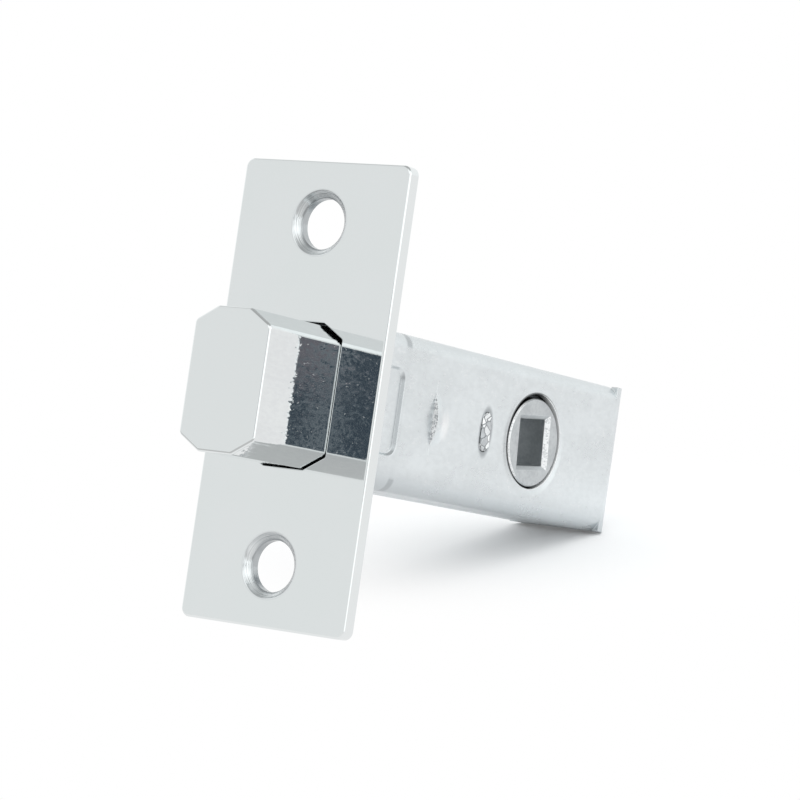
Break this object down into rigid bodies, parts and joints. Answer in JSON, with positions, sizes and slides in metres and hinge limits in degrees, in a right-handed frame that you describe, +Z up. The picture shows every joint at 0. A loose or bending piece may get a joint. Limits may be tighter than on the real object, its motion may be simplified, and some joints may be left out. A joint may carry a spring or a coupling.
{
  "type": "privacy bolt",
  "caption": "Tubular mortice privacy bolt with an octagonal bolt head, a screwed faceplate, a folded case and a square spindle socket.",
  "frame": {"origin": "middle of the faceplate's back face, which seats in the door edge", "axes": "-Y out of the door edge, the way the bolt is thrown; +Y back into the door along the case; +Z up along the faceplate; +X right seen from the door edge"},
  "size_m": [0.025, 0.0779, 0.057],
  "materials": {
    "faceplate": "mirror polished plating",
    "bolt_head": "polished plating with fine brush marks",
    "case": "bright zinc plating, slightly mottled",
    "inner_steel": "zinc plated pressed steel",
    "spring_steel": "bare spring steel",
    "follower": "satin plated casting"
  },
  "bodies": {
    "root": {"faceplate": "faceplate", "case": "case", "guide_bridge": "inner_steel", "detent_spring": "spring_steel"},
    "bolt": {"bolt_head": "bolt_head", "tail_plate_right": "inner_steel", "tail_plate_left": "inner_steel", "tail_rivets": "inner_steel", "tail_spacer": "inner_steel"},
    "hub": {"follower": "follower"}
  },
  "joints": [
    {"name": "bolt_slide", "type": "slide", "parent": "root", "child": "bolt", "axis": [0, 1, 0], "range_m": [0, 0.01253]},
    {"name": "hub_turn", "type": "hinge", "parent": "root", "child": "hub", "pos_m": [0.0003, 0.0403, -0.0002], "axis": [-1, 0, 0], "range_deg": [0, 106]}
  ],
  "couplings": [
    {"joint": "hub_turn", "follows": "bolt_slide", "rad_per_m": 147.6}
  ]
}
